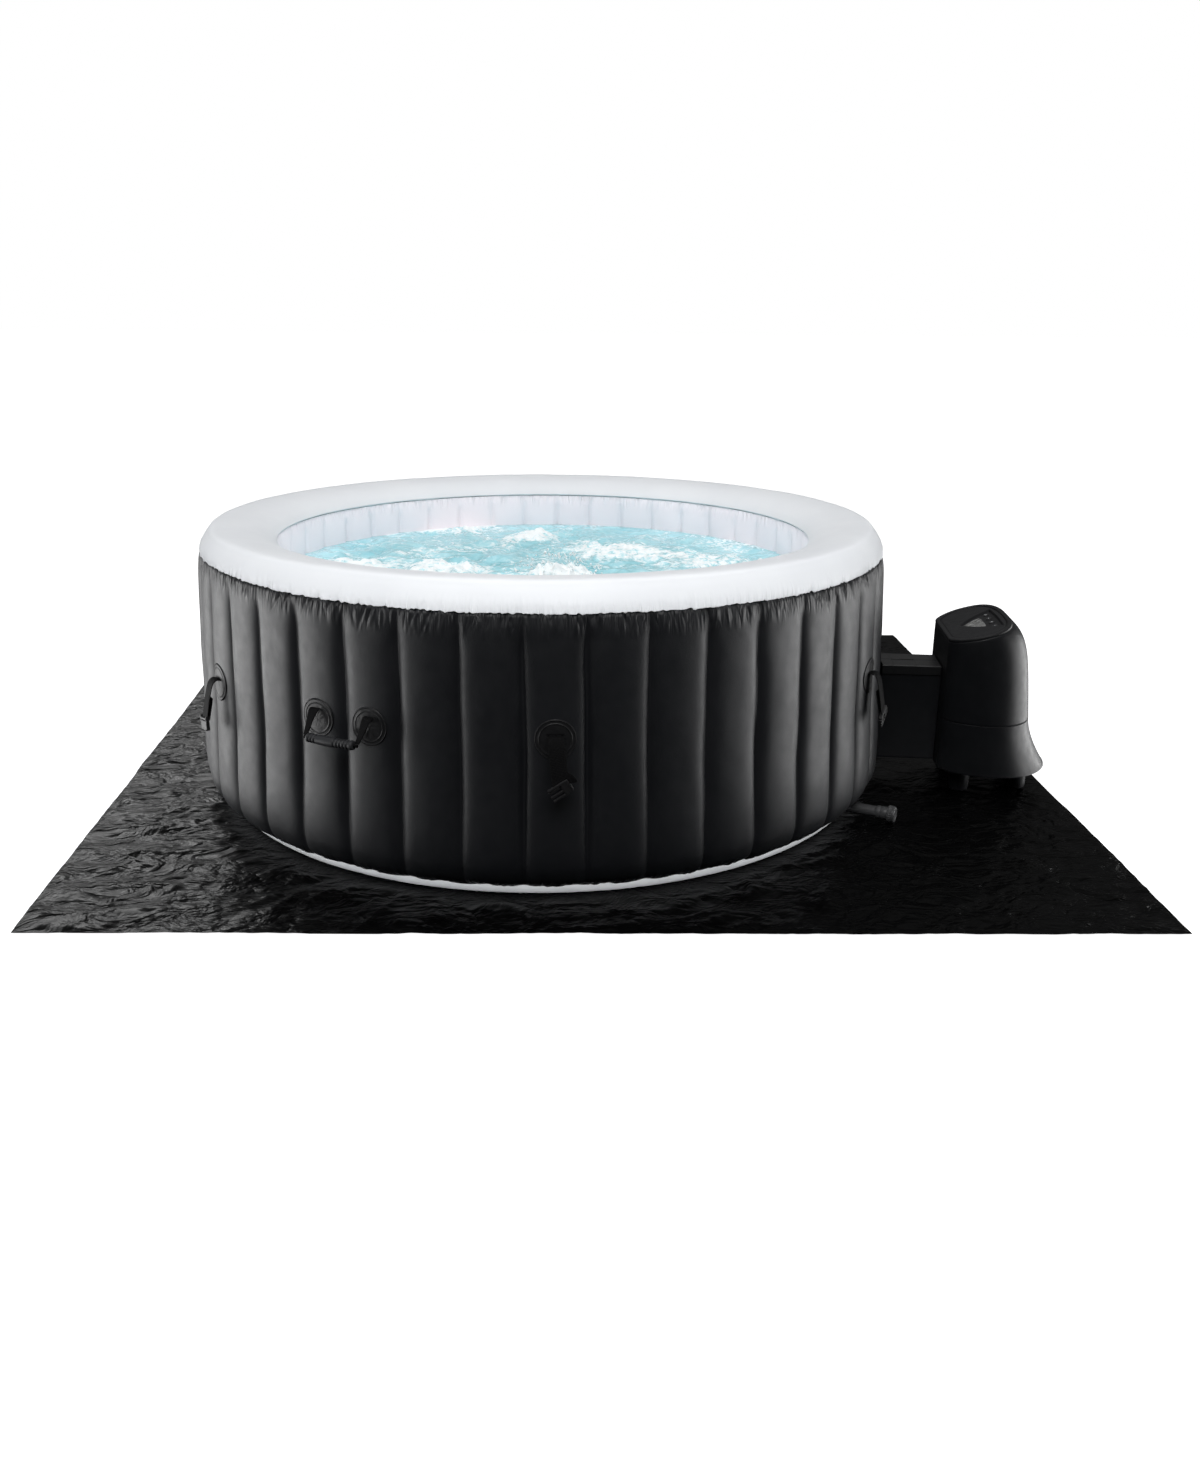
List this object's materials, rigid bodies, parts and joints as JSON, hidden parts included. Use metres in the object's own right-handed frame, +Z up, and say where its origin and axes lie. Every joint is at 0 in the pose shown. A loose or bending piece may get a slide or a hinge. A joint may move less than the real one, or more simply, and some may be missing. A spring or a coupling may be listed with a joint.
{
  "type": "inflatable hot tub",
  "caption": "Round inflatable hot tub with a fluted black wall, white rim, carry handles, cover straps, drain and a pump and heater station on a square ground cloth.",
  "frame": {"origin": "on the tub's axis, at the underside of the ground cloth", "axes": "+Z up along the tub's axis, -Y towards the tub's front, +X towards the pump station"},
  "size_m": [2.5588, 2.5588, 0.7],
  "materials": {
    "cloth_fabric": "thin black woven polyethylene-like cloth, crinkled, faint sheen",
    "black_laminate": "charcoal laminated PVC sheet over fabric, satin, finely grained",
    "white_laminate": "white laminated PVC sheet, satin",
    "basin_laminate": "pale lavender-white laminated PVC sheet, satin",
    "floor_pad": "padded PVC floor, pale, satin",
    "beam_laminate": "plain PVC sheet inside the air chamber",
    "black_webbing": "black polypropylene webbing, ribbed weave, matt",
    "buckle_plastic": "black moulded acetal, semi-gloss",
    "grip_plastic": "dark grey soft moulded grip, ribbed",
    "drain_plastic": "mid grey moulded plastic, satin",
    "black_plastic": "black moulded casing plastic, fine texture, satin",
    "panel_plastic": "dark grey panel plastic, fine grain, matt",
    "display_glass": "smoked grey display window, glossy",
    "button_plastic": "dark grey soft-touch buttons",
    "circuit_board": "green circuit board",
    "machine_plastic": "dark moulded housings",
    "machine_steel": "brushed stainless steel",
    "pale_plastic": "white moulded plastic, satin",
    "hose_rubber": "black rubber hose, matt",
    "filter_paper": "white pleated filter fleece, matt"
  },
  "bodies": {
    "root": {"air_blower": "machine_plastic", "air_fitting": "pale_plastic", "air_hose": "hose_rubber", "air_valve": "black_plastic", "base_tray": "white_laminate", "basin_floor": "floor_pad", "bubble_ring": "basin_laminate", "control_board": "circuit_board", "control_panel": "panel_plastic", "display_lens": "display_glass", "drain_pipe": "drain_plastic", "filter_housing": "pale_plastic", "ground_cloth": "cloth_fabric", "handle_front_patch_left": "black_laminate", "handle_front_patch_right": "black_laminate", "handle_rear_patch_left": "black_laminate", "handle_rear_patch_right": "black_laminate", "heater_tube": "machine_steel", "hose_cover": "black_plastic", "inner_wall": "basin_laminate", "outer_wall": "black_laminate", "pump_motor": "machine_steel", "pump_volute": "machine_plastic", "station_base": "black_plastic", "station_shell": "black_plastic", "top_bezel": "panel_plastic", "top_rim": "white_laminate", "wall_beams": "beam_laminate", "water_in_fitting": "pale_plastic", "water_in_hose": "hose_rubber", "water_out_fitting": "pale_plastic", "water_out_hose": "hose_rubber"},
    "handle_front": {"handle_front_webbing": "black_webbing", "handle_front_grip": "grip_plastic"},
    "handle_rear": {"handle_rear_webbing": "black_webbing", "handle_rear_grip": "grip_plastic"},
    "strap_1": {"strap_1_webbing": "black_webbing", "strap_1_buckle": "buckle_plastic"},
    "strap_2": {"strap_2_webbing": "black_webbing", "strap_2_buckle": "buckle_plastic"},
    "strap_3": {"strap_3_webbing": "black_webbing", "strap_3_buckle": "buckle_plastic"},
    "strap_4": {"strap_4_webbing": "black_webbing", "strap_4_buckle": "buckle_plastic"},
    "strap_5": {"strap_5_webbing": "black_webbing", "strap_5_buckle": "buckle_plastic"},
    "strap_6": {"strap_6_webbing": "black_webbing", "strap_6_buckle": "buckle_plastic"},
    "drain_cap": {"drain_cap": "drain_plastic"},
    "air_valve_cap": {"air_valve_cap": "black_plastic"},
    "filter_cartridge": {"filter_cartridge": "filter_paper"},
    "hose_cover_lid": {"hose_cover_lid": "black_plastic"},
    "button_1": {"button_1": "button_plastic"},
    "button_2": {"button_2": "button_plastic"},
    "button_3": {"button_3": "button_plastic"},
    "button_4": {"button_4": "button_plastic"},
    "pump_impeller": {"pump_impeller": "pale_plastic"},
    "blower_fan": {"blower_fan": "pale_plastic"}
  },
  "joints": [
    {"name": "handle_front_swing", "type": "hinge", "parent": "root", "child": "handle_front", "pos_m": [-0.45325, -0.78505, 0.395], "axis": [-0.866, 0.5, 0], "range_deg": [0, 120]},
    {"name": "handle_rear_swing", "type": "hinge", "parent": "root", "child": "handle_rear", "pos_m": [0.45325, 0.78505, 0.395], "axis": [0.866, -0.5, 0], "range_deg": [0, 120]},
    {"name": "strap_1_swing", "type": "hinge", "parent": "root", "child": "strap_1", "pos_m": [0, -0.907, 0.388], "axis": [-1, 0, 0], "range_deg": [0, 135]},
    {"name": "strap_2_swing", "type": "hinge", "parent": "root", "child": "strap_2", "pos_m": [0.78548, -0.4535, 0.388], "axis": [-0.5, -0.866, 0], "range_deg": [0, 135]},
    {"name": "strap_3_swing", "type": "hinge", "parent": "root", "child": "strap_3", "pos_m": [0.78548, 0.4535, 0.388], "axis": [0.5, -0.866, 0], "range_deg": [0, 135]},
    {"name": "strap_4_swing", "type": "hinge", "parent": "root", "child": "strap_4", "pos_m": [0, 0.907, 0.388], "axis": [1, 0, 0], "range_deg": [0, 135]},
    {"name": "strap_5_swing", "type": "hinge", "parent": "root", "child": "strap_5", "pos_m": [-0.78548, 0.4535, 0.388], "axis": [0.5, 0.866, 0], "range_deg": [0, 135]},
    {"name": "strap_6_swing", "type": "hinge", "parent": "root", "child": "strap_6", "pos_m": [-0.78548, -0.4535, 0.388], "axis": [-0.5, 0.866, 0], "range_deg": [0, 135]},
    {"name": "drain_cap_unscrew", "type": "hinge", "parent": "root", "child": "drain_cap", "pos_m": [0.84871, -0.49, 0.029], "axis": [0.866, -0.5, 0], "range_deg": [0, 720]},
    {"name": "air_valve_cap_unscrew", "type": "hinge", "parent": "root", "child": "air_valve_cap", "pos_m": [0.85082, 0.33392, 0.3], "axis": [0.9309, 0.3653, 0], "range_deg": [0, 540]},
    {"name": "filter_cartridge_lift", "type": "slide", "parent": "root", "child": "filter_cartridge", "axis": [0, 0, 1], "range_m": [0, 0.22]},
    {"name": "hose_cover_lid_lift", "type": "slide", "parent": "root", "child": "hose_cover_lid", "axis": [0, 0, 1], "range_m": [0, 0.12]},
    {"name": "button_1_press", "type": "slide", "parent": "root", "child": "button_1", "axis": [0.2728, -0.0411, -0.9612], "range_m": [0, 0.0012], "stiffness_N_per_m": 600},
    {"name": "button_2_press", "type": "slide", "parent": "root", "child": "button_2", "axis": [0.2728, -0.0411, -0.9612], "range_m": [0, 0.0012], "stiffness_N_per_m": 600},
    {"name": "button_3_press", "type": "slide", "parent": "root", "child": "button_3", "axis": [0.2728, -0.0411, -0.9612], "range_m": [0, 0.0012], "stiffness_N_per_m": 600},
    {"name": "button_4_press", "type": "slide", "parent": "root", "child": "button_4", "axis": [0.2728, -0.0411, -0.9612], "range_m": [0, 0.0012], "stiffness_N_per_m": 600},
    {"name": "pump_impeller_spin", "type": "hinge", "parent": "root", "child": "pump_impeller", "pos_m": [1.08296, -0.24919, 0.125], "axis": [0.9888, -0.149, 0], "continuous": true},
    {"name": "blower_fan_spin", "type": "hinge", "parent": "root", "child": "blower_fan", "pos_m": [1.14759, -0.10218, 0.29], "axis": [0, 0, 1], "continuous": true}
  ]
}
